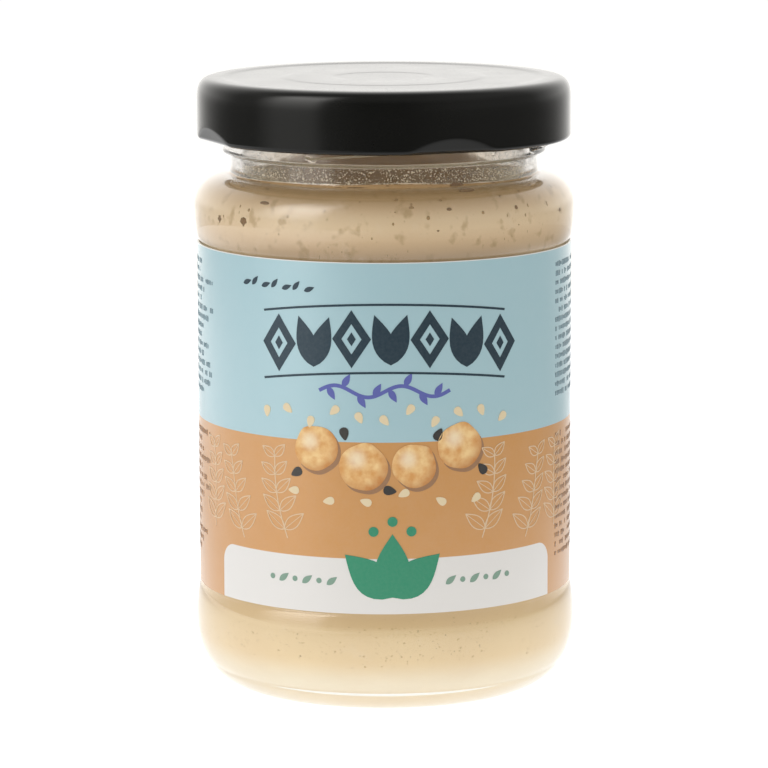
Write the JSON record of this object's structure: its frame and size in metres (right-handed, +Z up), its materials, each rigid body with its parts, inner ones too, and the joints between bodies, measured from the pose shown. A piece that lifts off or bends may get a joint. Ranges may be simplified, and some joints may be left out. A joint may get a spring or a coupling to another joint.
{
  "type": "jar of hummus",
  "caption": "Shut clear glass jar filled with beige chickpea dip, with a black twist-off metal lid and a wrap-around paper label.",
  "frame": {"origin": "centre of the jar's base, on the surface that it stands on", "axes": "+Z up through the lid; -Y is the front of the label; +X is to the right of someone who faces the label"},
  "size_m": [0.0622, 0.0622, 0.0996],
  "materials": {
    "glass": "clear, smooth",
    "lacquered_lid": "gloss black lacquer",
    "hummus": "moist, smooth cream with fine specks",
    "label_paper": "coated, satin print"
  },
  "bodies": {
    "root": {"jar": "glass", "lid": "lacquered_lid", "hummus": "hummus", "label": "label_paper"}
  },
  "joints": []
}
